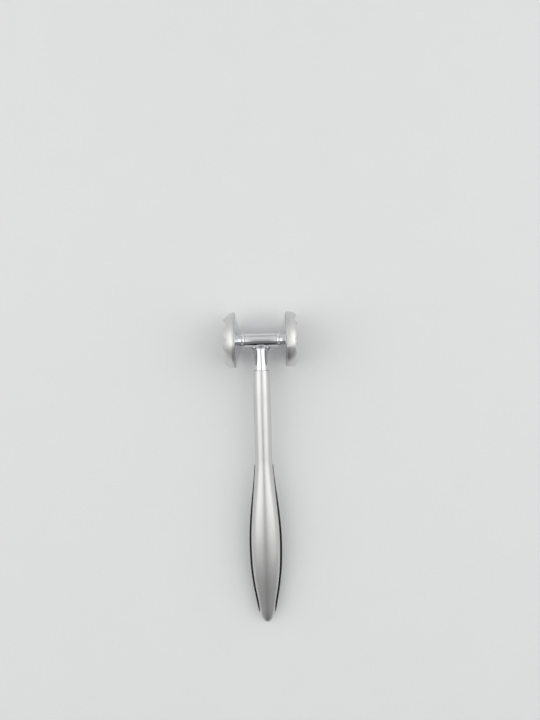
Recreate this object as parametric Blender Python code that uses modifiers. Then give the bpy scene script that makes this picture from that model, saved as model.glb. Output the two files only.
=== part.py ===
"""Rigid two-faced meat mallet: a pair of toothed discs on a chromed tee, and a swelling cast handle.

Metres, +Z up. The mallet lies as it rests on a table: on the rims of both discs and on the handle's underside.
Each piece is modelled in the mallet's own frame, whose origin is where the axis of the head crosses the axis of
the handle: X runs along the head from the coarse face to the fine one, the handle runs along -Y, and Z is its
front. One empty carries that frame and tips it back onto the table.
"""

import math
from typing import NamedTuple

import bmesh
import bpy

# Gaps, edges and cutters
CLEARANCE = 0.0003
EDGE_BREAK = 0.0004
CUTTER_OVERRUN = 0.004

# Tee: the barrel along the head's axis, the saddle under it and the round neck
BARREL_LENGTH = 0.0242
BARREL_RADIUS = 0.0052
SADDLE_HALF_WIDTH = 0.0096
SADDLE_HALF_THICKNESS = 0.0027
NECK_RADIUS = 0.00525
NECK_START = 0.0092
NECK_END = 0.0227
# Saddle sections, as shares: place on the way down to the neck, widening and thinning left at that place
SADDLE_SHARES = ((0, 1, 1), (0.2, 0.86, 0.86), (0.42, 0.45, 0.52), (0.7, 0.14, 0.2), (1, 0, 0))
SPIGOT_RADIUS = 0.0042
SPIGOT_LENGTH = 0.026

# Flares: the trumpets that spread from the barrel to the discs
FLARE_LENGTH = 0.0066
FLARE_RADIUS = 0.0205
FLARE_LIP = 0.0005
FLARE_SWEEP_SHARE = 2.2

# Discs
DISC_RADIUS = 0.0218
COARSE_BAND = 0.0017
COARSE_THICKNESS = 0.0092
COARSE_TIP_RADIUS = 0.0165
COARSE_CORNER_SHARE = 1.15
COARSE_PITCH = 0.0108
COARSE_TOOTH_DEPTH = 0.0036
COARSE_TOOTH_FLAT = 0.0012
COARSE_GROOVES = 3
FINE_BAND = 0.002
FINE_THICKNESS = 0.0087
FINE_TIP_RADIUS = 0.0178
FINE_CORNER_SHARE = 1.7
FINE_PITCH = 0.0071
FINE_TOOTH_DEPTH = 0.0025
FINE_TOOTH_FLAT = 0.001
FINE_GROOVES = 5
GRID_SHIFT = 0.0015

# Tie rod and the lock washers under the discs
TIE_ROD_RADIUS = 0.003
TIE_ROD_END_WALL = 0.0014
WASHER_RADIUS = 0.0052
WASHER_THICKNESS = 0.0012
WASHER_SPLIT = 0.0012

# Handle: a round stem that swells into the grip
STEM_TOP_RADIUS = 0.0062
STEM_RADIUS = 0.0067
STEM_TAPER_LENGTH = 0.022
SWELL_START = 0.092
BELLY_PLACE = 0.1594
BELLY_HALF_WIDTH = 0.0123
BELLY_HALF_THICKNESS = 0.0095
TAIL_PLACE = 0.2228
SWELL_LEAN_SHARE = 0.85
# Tail outline, as shares of the belly-to-tail length and of the belly's half-width
TAIL_SHARES = ((0, 1), (0.26, 0.965), (0.5, 0.835), (0.71, 0.65), (0.86, 0.495), (0.96, 0.305), (1, 0))

# Grip inlays: soft strips let into both sides of the grip
INLAY_START = 0.0965
INLAY_END = 0.214
INLAY_PROUD = 0.0004
INLAY_DEPTH = 0.003
INLAY_HALF_HEIGHT = 0.0042
INLAY_POINT_HALF_HEIGHT = 0.0006
# Half-height of a strip as shares of its length and of its greatest half-height
INLAY_SHARES = ((0, 0), (0.12, 0.36), (0.27, 0.76), (0.5, 0.96), (0.7, 1), (0.93, 0.76), (1, 0))
PEG_RADIUS = 0.0014
PEG_LENGTH = 0.0022
PEG_PLACE_SHARES = (0.22, 0.52, 0.82)

# Cross pin that keys the neck's spigot in the stem
PIN_RADIUS = 0.0015
PIN_PLACE = 0.0347
PIN_RECESS = 0.0003

# Facets
ROUND_SIDES = 48
DISC_SIDES = 72
SMALL_SIDES = 24
GRIP_SIDES = 32
SWELL_STEPS = 10
TAIL_STEPS = 3
INLAY_STEPS = 4
INLAY_ARC_STEPS = 6
CORNER_STEPS = 6
FLARE_STEPS = 9

SMOOTH_ANGLE = math.radians(30)
STEEPEST_TILT = math.radians(30)
TILT_STEP = math.radians(0.0001)


class DiscSizes(NamedTuple):
    """Sizes that the two discs don't share."""

    band: float
    thickness: float
    tip_radius: float
    corner_share: float
    pitch: float
    depth: float
    flat: float
    grooves: int


COARSE = DiscSizes(
    band=COARSE_BAND,
    thickness=COARSE_THICKNESS,
    tip_radius=COARSE_TIP_RADIUS,
    corner_share=COARSE_CORNER_SHARE,
    pitch=COARSE_PITCH,
    depth=COARSE_TOOTH_DEPTH,
    flat=COARSE_TOOTH_FLAT,
    grooves=COARSE_GROOVES,
)
FINE = DiscSizes(
    band=FINE_BAND,
    thickness=FINE_THICKNESS,
    tip_radius=FINE_TIP_RADIUS,
    corner_share=FINE_CORNER_SHARE,
    pitch=FINE_PITCH,
    depth=FINE_TOOTH_DEPTH,
    flat=FINE_TOOTH_FLAT,
    grooves=FINE_GROOVES,
)


def smooth_curve(points, steps):
    """Points of a curve that passes through those given, with a level start and an upright end."""
    first = (-points[1][0], points[1][1])
    last = (points[-2][0], -points[-2][1])
    knots = [first, *points, last]
    curve = []
    for at in range(1, len(knots) - 2):
        before, start, end, after = knots[at - 1 : at + 3]
        for step in range(steps):
            curve.append(tuple(spline(before[k], start[k], end[k], after[k], step / steps) for k in (0, 1)))
    curve.append(points[-1])
    return curve


def spline(before, start, end, after, share):
    """One coordinate of a Catmull-Rom curve between start and end."""
    pull = 2 * before - 5 * start + 4 * end - after
    twist = 3 * (start - end) + after - before
    return start + share * ((end - before) + share * (pull + share * twist)) / 2


def handle_stations():
    """(distance from the head's axis, half-width, half-thickness) of the handle, from the neck to the tail."""
    top = NECK_END + CLEARANCE
    taper_end = top + STEM_TAPER_LENGTH
    stations = [
        (top, STEM_TOP_RADIUS - EDGE_BREAK, STEM_TOP_RADIUS - EDGE_BREAK),
        (top + EDGE_BREAK, STEM_TOP_RADIUS, STEM_TOP_RADIUS),
        (taper_end, STEM_RADIUS, STEM_RADIUS),
    ]
    for step in range(SWELL_STEPS):
        share = step / SWELL_STEPS
        lean = share**SWELL_LEAN_SHARE
        rise = lean * lean * (3 - 2 * lean)
        half_width = STEM_RADIUS + (BELLY_HALF_WIDTH - STEM_RADIUS) * rise
        half_thickness = STEM_RADIUS + (BELLY_HALF_THICKNESS - STEM_RADIUS) * rise
        stations.append((SWELL_START + (BELLY_PLACE - SWELL_START) * share, half_width, half_thickness))
    for place, size in smooth_curve(TAIL_SHARES, TAIL_STEPS):
        along = BELLY_PLACE + (TAIL_PLACE - BELLY_PLACE) * place
        stations.append((along, BELLY_HALF_WIDTH * size, BELLY_HALF_THICKNESS * size))
    return stations


def handle_size(along):
    """(half-width, half-thickness) of the handle at a distance from the head's axis."""
    stations = handle_stations()
    for (low, *sizes), (high, *following) in zip(stations, stations[1:]):
        if along <= high:
            share = (along - low) / (high - low)
            return tuple(size + (after - size) * share for size, after in zip(sizes, following))
    return stations[-1][1:]


def lying_tilt():
    """Angle by which the handle drops when the discs and the grip rest on one flat surface."""
    low, high = 0, STEEPEST_TILT
    while high - low > TILT_STEP:
        tilt = (low + high) / 2
        reach = max(along * math.sin(tilt) + thick * math.cos(tilt) for along, _, thick in handle_stations())
        low, high = (tilt, high) if reach < DISC_RADIUS else (low, tilt)
    return (low + high) / 2


def new_object(name, mesh, collection, colour=None, roughness=0, metallic=1):
    obj = bpy.data.objects.new(name, mesh)
    collection.objects.link(obj)
    if colour:
        material = bpy.data.materials.new(name)
        material.use_nodes = True
        shader = material.node_tree.nodes["Principled BSDF"]
        shader.inputs["Base Color"].default_value = (*colour, 1)
        shader.inputs["Roughness"].default_value = roughness
        shader.inputs["Metallic"].default_value = metallic
        mesh.materials.append(material)
    else:
        obj.hide_render = True
        obj.display_type = "WIRE"
    return obj


def mesh_from(bm, name):
    bmesh.ops.recalc_face_normals(bm, faces=bm.faces[:])
    mesh = bpy.data.meshes.new(name)
    bm.to_mesh(mesh)
    bm.free()
    mesh.shade_smooth()
    mesh.set_sharp_from_angle(angle=SMOOTH_ANGLE)
    return mesh


def lofted_mesh(name, rings):
    """Closed skin through rings of equally many points. A ring of one point closes the skin to a tip."""
    bm = bmesh.new()
    loops = [[bm.verts.new(point) for point in ring] for ring in rings]
    for ring, following in zip(loops, loops[1:]):
        count = max(len(ring), len(following))
        for side in range(count):
            corners = [
                ring[side % len(ring)],
                ring[(side + 1) % count % len(ring)],
                following[(side + 1) % count % len(following)],
                following[side % len(following)],
            ]
            bm.faces.new(dict.fromkeys(corners))
    for end in (loops[0], loops[-1]):
        if len(end) > 1:
            bm.faces.new(end)
    return mesh_from(bm, name)


def oval_ring(along, half_width, half_thickness, sides):
    """Oval cross-section of the handle or neck, or its tip where the width is nothing."""
    if half_width == 0:
        return [(0, -along, 0)]
    turns = [2 * math.pi * side / sides for side in range(sides)]
    return [(half_width * math.cos(turn), -along, half_thickness * math.sin(turn)) for turn in turns]


def turned(name, profile, collection, sides, closed=False, **look):
    """Turned solid round local Z. The profile of (radius, height) points runs down its outer side."""
    bm = bmesh.new()
    verts = [bm.verts.new((radius, 0, height)) for radius, height in profile]
    for start, end in zip(verts, verts[1:]):
        bm.edges.new((start, end))
    if closed:
        bm.edges.new((verts[-1], verts[0]))
    mesh = bpy.data.meshes.new(name)
    bm.to_mesh(mesh)
    bm.free()
    obj = new_object(name, mesh, collection, **look)
    screw = obj.modifiers.new("turn", "SCREW")
    screw.axis = "Z"
    screw.steps = sides
    screw.render_steps = sides
    screw.use_merge_vertices = True
    screw.merge_threshold = CLEARANCE / 10
    screw.use_smooth_shade = True
    return obj


def cylinder(name, radius, start, end, collection, sides=SMALL_SIDES, **look):
    """Cylinder along local Z from one height to another."""
    bm = bmesh.new()
    bmesh.ops.create_cone(
        bm, cap_ends=True, segments=sides, radius1=radius, radius2=radius, depth=end - start
    )
    bmesh.ops.translate(bm, verts=bm.verts[:], vec=(0, 0, (start + end) / 2))
    return new_object(name, mesh_from(bm, name), collection, **look)


def along_x(obj, frame, facing=1, place=0, along=0):
    """Puts an object into the mallet's frame, its own Z pointing along +X, or -X where facing is -1."""
    obj.parent = frame
    obj.rotation_euler = (0, facing * math.pi / 2, 0)
    obj.location = (facing * place, -along, 0)
    return obj


def boolean(obj, other, operation="DIFFERENCE"):
    modifier = obj.modifiers.new(f"{operation.lower()} {other.name}", "BOOLEAN")
    modifier.operation = operation
    modifier.solver = "EXACT"
    modifier.object = other


def disc_profile(sizes):
    """Half-section of a solid disc, from the middle of its face round the corner to the middle of its back."""
    profile = [(0, sizes.thickness)]
    for step in range(CORNER_STEPS + 1):
        turn = math.pi / 2 * (1 - step / CORNER_STEPS)
        out = math.cos(turn) ** (2 / sizes.corner_share) if step else 0
        forward = math.sin(turn) ** (2 / sizes.corner_share) if step < CORNER_STEPS else 0
        radius = sizes.tip_radius + (DISC_RADIUS - sizes.tip_radius) * out
        profile.append((radius, sizes.band + (sizes.thickness - sizes.band) * forward))
    profile += [(DISC_RADIUS, EDGE_BREAK), (DISC_RADIUS - EDGE_BREAK, 0), (0, 0)]
    return profile


def groove_cutter(name, sizes, lengthwise, cutters):
    """Row of V-shaped grooves to cut into a disc's face. Lengthwise grooves run along local Y."""
    bm = bmesh.new()
    half_width = (sizes.pitch - sizes.flat) / 2
    length = 2 * (DISC_RADIUS + CUTTER_OVERRUN)
    for at in range(sizes.grooves):
        offset = (at - (sizes.grooves - 1) / 2) * sizes.pitch
        prism = bmesh.ops.create_cube(bm, size=math.sqrt(2))["verts"]
        for vert in prism:
            across, up = (vert.co.x - vert.co.z) / 2, (vert.co.x + vert.co.z) / 2
            run = vert.co.y / math.sqrt(2) * length
            side = across * math.sqrt(2) * half_width + offset
            height = sizes.thickness + up * math.sqrt(2) * sizes.depth
            vert.co = (side, run, height) if lengthwise else (run, side + GRID_SHIFT, height)
    return new_object(name, mesh_from(bm, name), cutters)


def disc_back():
    """Distance of either disc's back from the handle's axis."""
    return BARREL_LENGTH / 2 + CLEARANCE + FLARE_LENGTH + CLEARANCE


def rod_grip(sizes):
    """How far the tie rod reaches into a disc, short of the disc's deepest grooves."""
    return sizes.thickness - sizes.depth - TIE_ROD_END_WALL - CLEARANCE


def make_disc(name, facing, sizes, frame, parts, cutters, **look):
    """Toothed disc: a solid disc whose face is crossed by V-shaped grooves, with a blind hole in its back."""
    place = disc_back()
    disc = turned(name, disc_profile(sizes), parts, DISC_SIDES, **look)
    along_x(disc, frame, facing, place)
    for lengthwise in (True, False):
        title = f"{name} grooves {'down' if lengthwise else 'across'}"
        cutter = groove_cutter(title, sizes, lengthwise, cutters)
        along_x(cutter, frame, facing, place)
        boolean(disc, cutter)
    bottom = rod_grip(sizes) + CLEARANCE
    hole = cylinder(f"{name} hole", TIE_ROD_RADIUS + CLEARANCE, -CUTTER_OVERRUN, bottom, cutters)
    along_x(hole, frame, facing, place)
    boolean(disc, hole)
    return disc


def make_flare(name, facing, frame, parts, **look):
    """Trumpet from the barrel's radius to just inside the disc's rim, with a recess for the lock washer."""
    bore = TIE_ROD_RADIUS + CLEARANCE
    recess = WASHER_THICKNESS + CLEARANCE
    profile = [(FLARE_RADIUS, FLARE_LENGTH), (FLARE_RADIUS, FLARE_LENGTH - FLARE_LIP)]
    for step in range(1, FLARE_STEPS + 1):
        share = step / FLARE_STEPS
        radius = BARREL_RADIUS + (FLARE_RADIUS - BARREL_RADIUS) * (1 - share) ** FLARE_SWEEP_SHARE
        profile.append((radius, (FLARE_LENGTH - FLARE_LIP) * (1 - share)))
    profile += [
        (bore, 0),
        (bore, FLARE_LENGTH - recess),
        (WASHER_RADIUS + CLEARANCE, FLARE_LENGTH - recess),
        (WASHER_RADIUS + CLEARANCE, FLARE_LENGTH),
    ]
    flare = turned(name, profile, parts, ROUND_SIDES, closed=True, **look)
    return along_x(flare, frame, facing, BARREL_LENGTH / 2 + CLEARANCE)


def make_washer(name, facing, frame, parts, cutters, **look):
    """Split spring washer in the flare's recess."""
    bore = TIE_ROD_RADIUS + CLEARANCE
    profile = [
        (WASHER_RADIUS, WASHER_THICKNESS),
        (WASHER_RADIUS, 0),
        (bore, 0),
        (bore, WASHER_THICKNESS),
    ]
    washer = turned(name, profile, parts, SMALL_SIDES, closed=True, **look)
    place = BARREL_LENGTH / 2 + CLEARANCE + FLARE_LENGTH - WASHER_THICKNESS
    along_x(washer, frame, facing, place)
    bm = bmesh.new()
    bmesh.ops.create_cube(bm, size=1)
    bmesh.ops.scale(bm, verts=bm.verts[:], vec=(2 * WASHER_RADIUS, WASHER_SPLIT, 3 * WASHER_THICKNESS))
    bmesh.ops.translate(bm, verts=bm.verts[:], vec=(WASHER_RADIUS, 0, WASHER_THICKNESS / 2))
    split = new_object(f"{name} split", mesh_from(bm, f"{name} split"), cutters)
    along_x(split, frame, facing, place)
    boolean(washer, split)
    return washer


def make_tee(frame, parts, cutters, **look):
    """Barrel, saddle, neck and spigot in one casting, with the tie rod's bore through the barrel."""
    half = BARREL_LENGTH / 2
    tee = cylinder("head_tee", BARREL_RADIUS, -half, half, parts, ROUND_SIDES, **look)
    along_x(tee, frame)
    saddle_top = (TIE_ROD_RADIUS + CLEARANCE + BARREL_RADIUS) / 2
    drop = NECK_START - saddle_top
    stations = []
    for share, widening, thinning in SADDLE_SHARES:
        width = NECK_RADIUS + (SADDLE_HALF_WIDTH - NECK_RADIUS) * widening
        thickness = NECK_RADIUS + (SADDLE_HALF_THICKNESS - NECK_RADIUS) * thinning
        stations.append((saddle_top + drop * share, width, thickness))
    spigot_end = NECK_END + SPIGOT_LENGTH
    stations += [
        (NECK_END, NECK_RADIUS, NECK_RADIUS),
        (NECK_END, SPIGOT_RADIUS, SPIGOT_RADIUS),
        (spigot_end - EDGE_BREAK, SPIGOT_RADIUS, SPIGOT_RADIUS),
        (spigot_end, SPIGOT_RADIUS - EDGE_BREAK, SPIGOT_RADIUS - EDGE_BREAK),
    ]
    rings = [oval_ring(*station, ROUND_SIDES) for station in stations]
    neck = new_object("neck and spigot", lofted_mesh("neck and spigot", rings), cutters)
    neck.parent = frame
    boolean(tee, neck, "UNION")
    bore = cylinder(
        "barrel bore", TIE_ROD_RADIUS + CLEARANCE, -half - CUTTER_OVERRUN, half + CUTTER_OVERRUN, cutters
    )
    boolean(tee, along_x(bore, frame))
    boolean(tee, pin_hole("spigot pin hole", frame, cutters))
    return tee


def pin_hole(name, frame, cutters):
    reach = STEM_RADIUS + CUTTER_OVERRUN
    hole = cylinder(name, PIN_RADIUS + CLEARANCE, -reach, reach, cutters)
    return along_x(hole, frame, along=PIN_PLACE)


def inlay_rings(side, margin, proud):
    """Cross-sections of a grip inlay: an arc outside and a flat floor, widened all round by the margin."""
    rings = []
    for place, full in smooth_curve(INLAY_SHARES, INLAY_STEPS):
        along = INLAY_START + (INLAY_END - INLAY_START) * place + margin * (2 * place - 1)
        half_width, half_thickness = handle_size(along)
        half_height = INLAY_POINT_HALF_HEIGHT + (INLAY_HALF_HEIGHT - INLAY_POINT_HALF_HEIGHT) * full + margin
        floor = half_width - INLAY_DEPTH - margin
        widest = math.asin(half_height / (half_thickness + proud))
        ring = []
        for at in range(INLAY_ARC_STEPS + 1):
            turn = widest * (2 * at / INLAY_ARC_STEPS - 1)
            across, up = math.cos(turn), math.sin(turn)
            ring.append((side * (half_width + proud) * across, -along, (half_thickness + proud) * up))
        ring += [(side * floor, -along, half_height), (side * floor, -along, -half_height)]
        rings.append(ring)
    return rings


def inlay_pegs(title, side, margin, frame, cutters):
    """Pegs behind an inlay, or the holes that take them when there is a margin."""
    pegs = []
    for at, share in enumerate(PEG_PLACE_SHARES, 1):
        along = INLAY_START + (INLAY_END - INLAY_START) * share
        floor = handle_size(along)[0] - INLAY_DEPTH
        peg = cylinder(
            f"{title} {at}", PEG_RADIUS + margin, floor - PEG_LENGTH - margin, floor + INLAY_DEPTH / 2, cutters
        )
        pegs.append(along_x(peg, frame, side, along=along))
    return pegs


def make_inlay(name, side, frame, parts, cutters, **look):
    inlay = new_object(name, lofted_mesh(name, inlay_rings(side, 0, INLAY_PROUD)), parts, **look)
    inlay.parent = frame
    for peg in inlay_pegs(f"{name} peg", side, 0, frame, cutters):
        boolean(inlay, peg, "UNION")
    return inlay


def make_handle(frame, parts, cutters, **look):
    """Cast handle with the neck's socket, the pin's cross hole and a pocket for each inlay."""
    rings = [oval_ring(*station, GRIP_SIDES) for station in handle_stations()]
    handle = new_object("handle_casting", lofted_mesh("handle_casting", rings), parts, **look)
    handle.parent = frame
    socket_rings = [
        oval_ring(along, SPIGOT_RADIUS + CLEARANCE, SPIGOT_RADIUS + CLEARANCE, ROUND_SIDES)
        for along in (NECK_END - CUTTER_OVERRUN, NECK_END + SPIGOT_LENGTH + CLEARANCE)
    ]
    socket = new_object("neck socket", lofted_mesh("neck socket", socket_rings), cutters)
    socket.parent = frame
    boolean(handle, socket)
    boolean(handle, pin_hole("stem pin hole", frame, cutters))
    for title, side in (("left", -1), ("right", 1)):
        pocket_mesh = lofted_mesh(f"{title} pocket", inlay_rings(side, CLEARANCE, CUTTER_OVERRUN))
        pocket = new_object(f"{title} pocket", pocket_mesh, cutters)
        pocket.parent = frame
        boolean(handle, pocket)
        for hole in inlay_pegs(f"{title} peg hole", side, CLEARANCE, frame, cutters):
            boolean(handle, hole)
    return handle


def make_frame(parts):
    """Empty where the head's axis crosses the handle's, tipped so that the mallet lies on the surface z = 0."""
    tilt = lying_tilt()
    coarse_reach = disc_back() + COARSE.thickness
    fine_reach = disc_back() + FINE.thickness
    tail_reach = max(along * math.cos(tilt) + thick * math.sin(tilt) for along, _, thick in handle_stations())
    frame = bpy.data.objects.new("mallet_axes", None)
    parts.objects.link(frame)
    frame.location = ((coarse_reach - fine_reach) / 2, (tail_reach - DISC_RADIUS) / 2, DISC_RADIUS)
    frame.rotation_euler = (tilt, 0, 0)
    return frame


def main():
    for obj in list(bpy.data.objects):
        bpy.data.objects.remove(obj, do_unlink=True)
    parts = bpy.data.collections.new("meat_mallet")
    cutters = bpy.data.collections.new("cutters")
    for collection in (parts, cutters):
        bpy.context.scene.collection.children.link(collection)
    cutters.hide_render = True
    frame = make_frame(parts)

    satin = {"colour": (0.72, 0.72, 0.71), "roughness": 0.38}
    chrome = {"colour": (0.8, 0.81, 0.82), "roughness": 0.08}
    steel = {"colour": (0.52, 0.52, 0.53), "roughness": 0.35}
    rubber = {"colour": (0.02, 0.02, 0.02), "roughness": 0.6, "metallic": 0}

    for title, facing, sizes in (("coarse", -1, COARSE), ("fine", 1, FINE)):
        make_disc(f"{title}_face_disc", facing, sizes, frame, parts, cutters, **satin)
        make_flare(f"{title}_side_flare", facing, frame, parts, **chrome)
        make_washer(f"{title}_side_lock_washer", facing, frame, parts, cutters, **steel)
    make_tee(frame, parts, cutters, **chrome)

    coarse_end = disc_back() + rod_grip(COARSE)
    fine_end = disc_back() + rod_grip(FINE)
    along_x(cylinder("tie_rod", TIE_ROD_RADIUS, -coarse_end, fine_end, parts, **steel), frame)
    pin_reach = handle_size(PIN_PLACE)[0] - PIN_RECESS
    pin = cylinder("neck_cross_pin", PIN_RADIUS, -pin_reach, pin_reach, parts, **steel)
    along_x(pin, frame, along=PIN_PLACE)

    make_handle(frame, parts, cutters, **satin)
    make_inlay("left_grip_inlay", -1, frame, parts, cutters, **rubber)
    make_inlay("right_grip_inlay", 1, frame, parts, cutters, **rubber)


main()
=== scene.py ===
"""Dresses the meat mallet: satin discs and handle, polished tee and flares, and soft black inlays.

Metres, +Z up. Each piece is drawn in the mallet's own frame (X along the head towards the fine face, the
handle along -Y, Z out of its front) and then laid down in its mesh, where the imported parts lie.
"""

import math
from typing import NamedTuple

import bmesh
import bpy
from mathutils import Matrix, Vector


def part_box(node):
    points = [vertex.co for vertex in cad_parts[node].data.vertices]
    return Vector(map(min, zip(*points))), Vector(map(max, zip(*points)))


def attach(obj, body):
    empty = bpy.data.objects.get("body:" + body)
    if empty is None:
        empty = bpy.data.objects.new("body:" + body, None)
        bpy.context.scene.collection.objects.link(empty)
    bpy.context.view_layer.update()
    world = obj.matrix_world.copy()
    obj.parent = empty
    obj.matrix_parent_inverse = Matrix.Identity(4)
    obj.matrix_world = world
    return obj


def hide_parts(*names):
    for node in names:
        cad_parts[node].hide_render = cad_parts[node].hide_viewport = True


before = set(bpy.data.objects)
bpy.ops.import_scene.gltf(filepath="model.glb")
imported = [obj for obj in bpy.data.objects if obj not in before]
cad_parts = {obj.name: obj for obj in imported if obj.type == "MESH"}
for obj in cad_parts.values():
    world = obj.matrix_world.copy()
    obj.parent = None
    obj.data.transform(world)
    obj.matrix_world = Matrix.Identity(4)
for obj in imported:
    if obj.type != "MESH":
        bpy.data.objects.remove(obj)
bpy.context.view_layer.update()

BODY = "root"

# Tee
BARREL_LENGTH = 0.0242
BARREL_RADIUS = 0.0052
NECK_RADIUS = 0.00525
NECK_END = 0.0227
SPIGOT_RADIUS = 0.0042
SPIGOT_LENGTH = 0.026
SHOULDER_START = 0.0048
SHOULDER_END = 0.0071
SHOULDER_HALF_THICKNESS = 0.0021
WEB_START = 0.0036
WEB_HALF_THICKNESS = 0.0023
WEB_BLEND = 0.0007
# Distance from the head's axis, and the webs' half-width there
WEB_SPREAD = (
    (0.0036, 0.0104),
    (0.0045, 0.0098),
    (0.0054, 0.0087),
    (0.0064, 0.00755),
    (0.0075, 0.00655),
    (0.0087, 0.0058),
    (0.01, 0.00535),
    (0.0115, 0.0049),
    (0.013, 0.0042),
)
TEE_EDGE_ROUND = 0.0003

# Flares
FLARE_LENGTH = 0.0066
FLARE_RADIUS = 0.0205
FLARE_LIP = 0.0005
FLARE_SWEEP_SHARE = 2.2
JOINT_GAP = 0.0003
FLARE_SEAM = 0.00005

# Discs
DISC_RADIUS = 0.0218
DISC_EDGE_ROUND = 0.0006
TEETH_SHIFT = 0.0015
ROD_RADIUS = 0.003
ROD_END_WALL = 0.0014
BORE_GAP = 0.0003
WASHER_RADIUS = 0.0052
WASHER_THICKNESS = 0.0012

# Handle
NECK_SEAM = 0.000075
STEM_TOP_RADIUS = 0.0062
STEM_RADIUS = 0.0067
STEM_TAPER_LENGTH = 0.022
SWELL_START = 0.092
BELLY_PLACE = 0.1594
BELLY_HALF_WIDTH = 0.0123
BELLY_HALF_THICKNESS = 0.0095
TAIL_PLACE = 0.2228
SWELL_LEAN_SHARE = 0.85
TAIL_SHARES = ((0, 1), (0.26, 0.965), (0.5, 0.835), (0.71, 0.65), (0.86, 0.495), (0.96, 0.305), (1, 0))
STEM_EDGE_ROUND = 0.0005

# Grip inlays
INLAY_START = 0.0965
INLAY_END = 0.214
INLAY_HALF_HEIGHT = 0.0042
INLAY_POINT_HALF_HEIGHT = 0.0003
INLAY_CROWN = 0.0004
INLAY_EDGE_PROUD = 0.00012
INLAY_GAP = 0.00006
INLAY_EDGE_ROUND = 0.00028
GROOVE_DEPTH = 0.0026
GROOVE_EDGE_ROUND = 0.00022
INLAY_SHARES = ((0, 0), (0.12, 0.36), (0.27, 0.76), (0.5, 0.96), (0.7, 1), (0.93, 0.76), (1, 0))
SIDE_SLIVER = math.radians(1.6)

# Cross pin
PIN_RADIUS = 0.0015
PIN_PLACE = 0.0347
PIN_RECESS = 0.0003
PIN_EDGE_ROUND = 0.00025

SMOOTH_ANGLE = math.radians(32)

# Facets
MERGE_DISTANCE = 1e-7
GRID_MERGE_DISTANCE = 1e-6
DISC_SIDES = 192
CORNER_STEPS = 28
RIM_STEPS = 5
FLARE_SIDES = 160
FLARE_STEPS = 40
BARREL_SIDES = 192
BORE_SIDES = 48
PIN_SIDES = 40
EDGE_STEPS = 4
NECK_STEPS = 48
WEB_STEPS = 6
STEM_STEPS = 60
CURVE_STEPS = 24
INLAY_ARC_STEPS = 16
NECK_SIDES = 144
ARC_POINTS = 56
FLOOR_POINTS = 4
ROUND_POINTS = 3
RING_POINTS = 2 * (ARC_POINTS - 1 + 2 * (ROUND_POINTS + 1) + FLOOR_POINTS)
TAIL_TIP = 1e-6

# Photograph and studio
PHOTO_WIDTH = 540
PHOTO_HEIGHT = 720
HUB_AT = (260.6, 340.3)
TAIL_AT = (267.6, 622.7)
TABLE_SCALE = 0.0008
CAMERA_HEIGHT = 0.5
SOFTBOX_REACH = 0.7
SOFTBOX_LIFT = 0.56
SOFTBOX_SHIFT = 0.15
SOFTBOX_HEIGHT = 0.8
SOFTBOX_LENGTH = 0.6
SOFTBOX_POWER = 0.7
SENSOR_HEIGHT = 24
TABLE_HALF_SIZE = 3
TABLE_ROUGHNESS = 0.85
TABLE_TONES = ((0.82, 0.825, 0.83, 1), (0.84, 0.845, 0.85, 1))
BACKDROP = (0.82, 0.825, 0.83, 1)

# Light of the room, in layers: the way it is seen, the span in which the layer fades in, and its level
ABOVE_LIGHT = (0.56, 0.57, 0.57, 1)
ABOVE_LAYERS = (
    ("head", 0.1, 0.6, (0.78, 0.78, 0.78, 1)),
    ("head", 0.7, 1, (0.5, 0.5, 0.5, 1)),
)
TAIL_LIGHT = (0.34, 0.34, 0.34, 1)
TAIL_LAYERS = (
    ("tail", 0.2, 0.5, (0.2, 0.2, 0.2, 1)),
    ("tail", 0.75, 0.93, (0.01, 0.01, 0.01, 1)),
)
SIDE_LIGHT = (1.65, 1.65, 1.64, 1)
SIDE_LAYERS = (
    ("head", -0.2, 0.05, (1.15, 1.15, 1.14, 1)),
    ("aside", 0.8, 1, (0.55, 0.55, 0.55, 1)),
    ("head", 0, 0.7, (0.8, 0.8, 0.8, 1)),
    ("tail", 0.22, 0.46, (0.3, 0.3, 0.3, 1)),
    ("tail", 0.6, 0.9, (0.26, 0.26, 0.26, 1)),
)
TAIL_FADE = (0.06, 0.2)
SIDE_FADE = (0.06, 0.25)

# Colours, the darker and the lighter where there are two
SATIN_TONES = ((0.6, 0.6, 0.595, 1), (0.68, 0.68, 0.675, 1))
SATIN_SPARKLE = (0.76, 0.76, 0.755, 1)
SATIN_RUBBED = (0.8, 0.8, 0.79, 1)
# Painted shade for the satin's inner corners and valleys
SATIN_PAINTED_SHADE = (0.4, 0.4, 0.39, 1)
CHROME_TONES = ((0.74, 0.75, 0.765, 1), (0.79, 0.8, 0.81, 1))
# Painted shade for the chrome's inner corners
CHROME_PAINTED_SHADE = (0.45, 0.46, 0.47, 1)
STEEL_TONES = ((0.42, 0.42, 0.43, 1), (0.58, 0.58, 0.59, 1))
STEEL_RUBBED = (0.7, 0.7, 0.71, 1)
RUBBER_TONES = ((0.009, 0.009, 0.0095, 1), (0.017, 0.017, 0.018, 1))
RUBBER_DUST = (0.04, 0.04, 0.041, 1)


class Disc(NamedTuple):
    """Sizes that the two discs don't share."""

    band: float
    thickness: float
    tip_radius: float
    corner_share: float
    pitch: float
    depth: float
    flat: float
    cells: int
    steps: int
    softness: float


COARSE = Disc(
    band=0.0017,
    thickness=0.0092,
    tip_radius=0.0165,
    corner_share=1.15,
    pitch=0.0108,
    depth=0.0036,
    flat=0.0012,
    cells=4,
    steps=40,
    softness=0.00035,
)
FINE = Disc(
    band=0.002,
    thickness=0.0087,
    tip_radius=0.0178,
    corner_share=1.7,
    pitch=0.0071,
    depth=0.0025,
    flat=0.001,
    cells=6,
    steps=27,
    softness=0.0003,
)


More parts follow.
